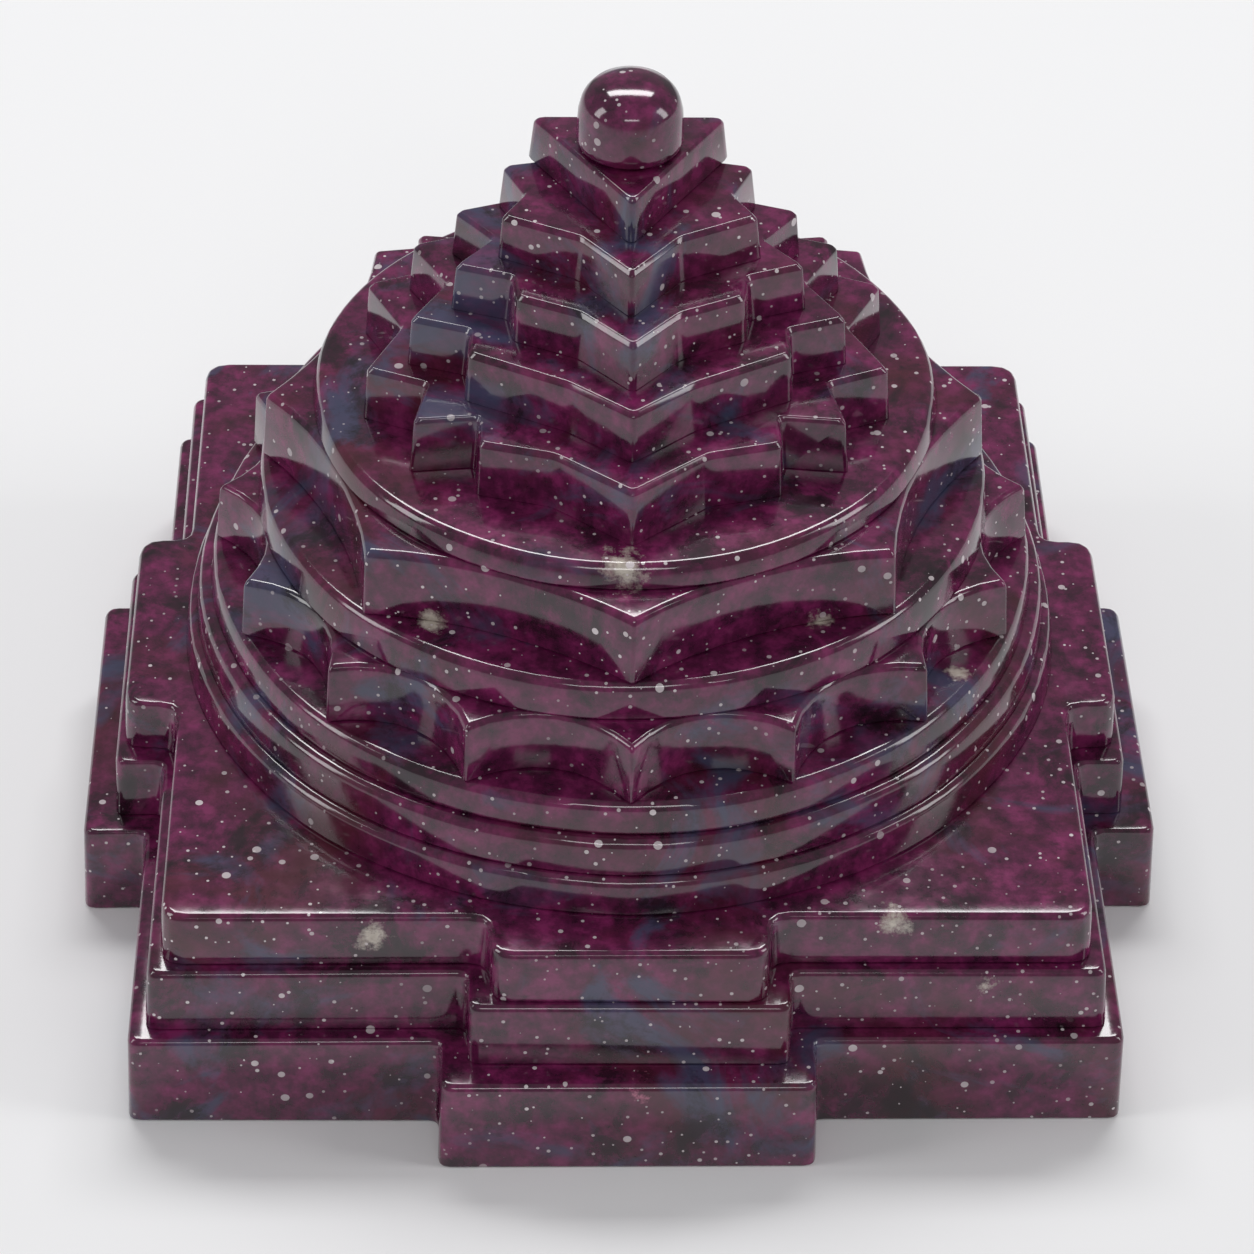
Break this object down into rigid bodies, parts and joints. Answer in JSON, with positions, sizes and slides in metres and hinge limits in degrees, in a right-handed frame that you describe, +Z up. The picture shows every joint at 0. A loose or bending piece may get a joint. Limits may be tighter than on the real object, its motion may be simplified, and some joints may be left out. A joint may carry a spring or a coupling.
{
  "type": "shri yantra",
  "caption": "Stepped stone shri yantra: gated square base, round steps, two lotus rings and star tiers rising to a domed point.",
  "frame": {"origin": "centre of the flat base, on the surface it stands on", "axes": "+Z up, -Y towards the front gate and the front apex of the stars, +X to the right"},
  "size_m": [0.076, 0.076, 0.0608],
  "materials": {
    "ruby_matrix_stone": "polished"
  },
  "bodies": {
    "root": {"bhupura_lower_tier": "ruby_matrix_stone", "bhupura_middle_tier": "ruby_matrix_stone", "bhupura_upper_tier": "ruby_matrix_stone", "outer_circle_step": "ruby_matrix_stone", "middle_circle_step": "ruby_matrix_stone", "inner_circle_step": "ruby_matrix_stone", "sixteen_petal_lotus": "ruby_matrix_stone", "eight_petal_disc": "ruby_matrix_stone", "eight_petal_lotus": "ruby_matrix_stone", "star_disc": "ruby_matrix_stone", "fourteen_point_tier": "ruby_matrix_stone", "outer_ten_point_tier": "ruby_matrix_stone", "inner_ten_point_tier": "ruby_matrix_stone", "eight_point_tier": "ruby_matrix_stone", "central_triangle": "ruby_matrix_stone", "bindu": "ruby_matrix_stone"}
  },
  "joints": []
}
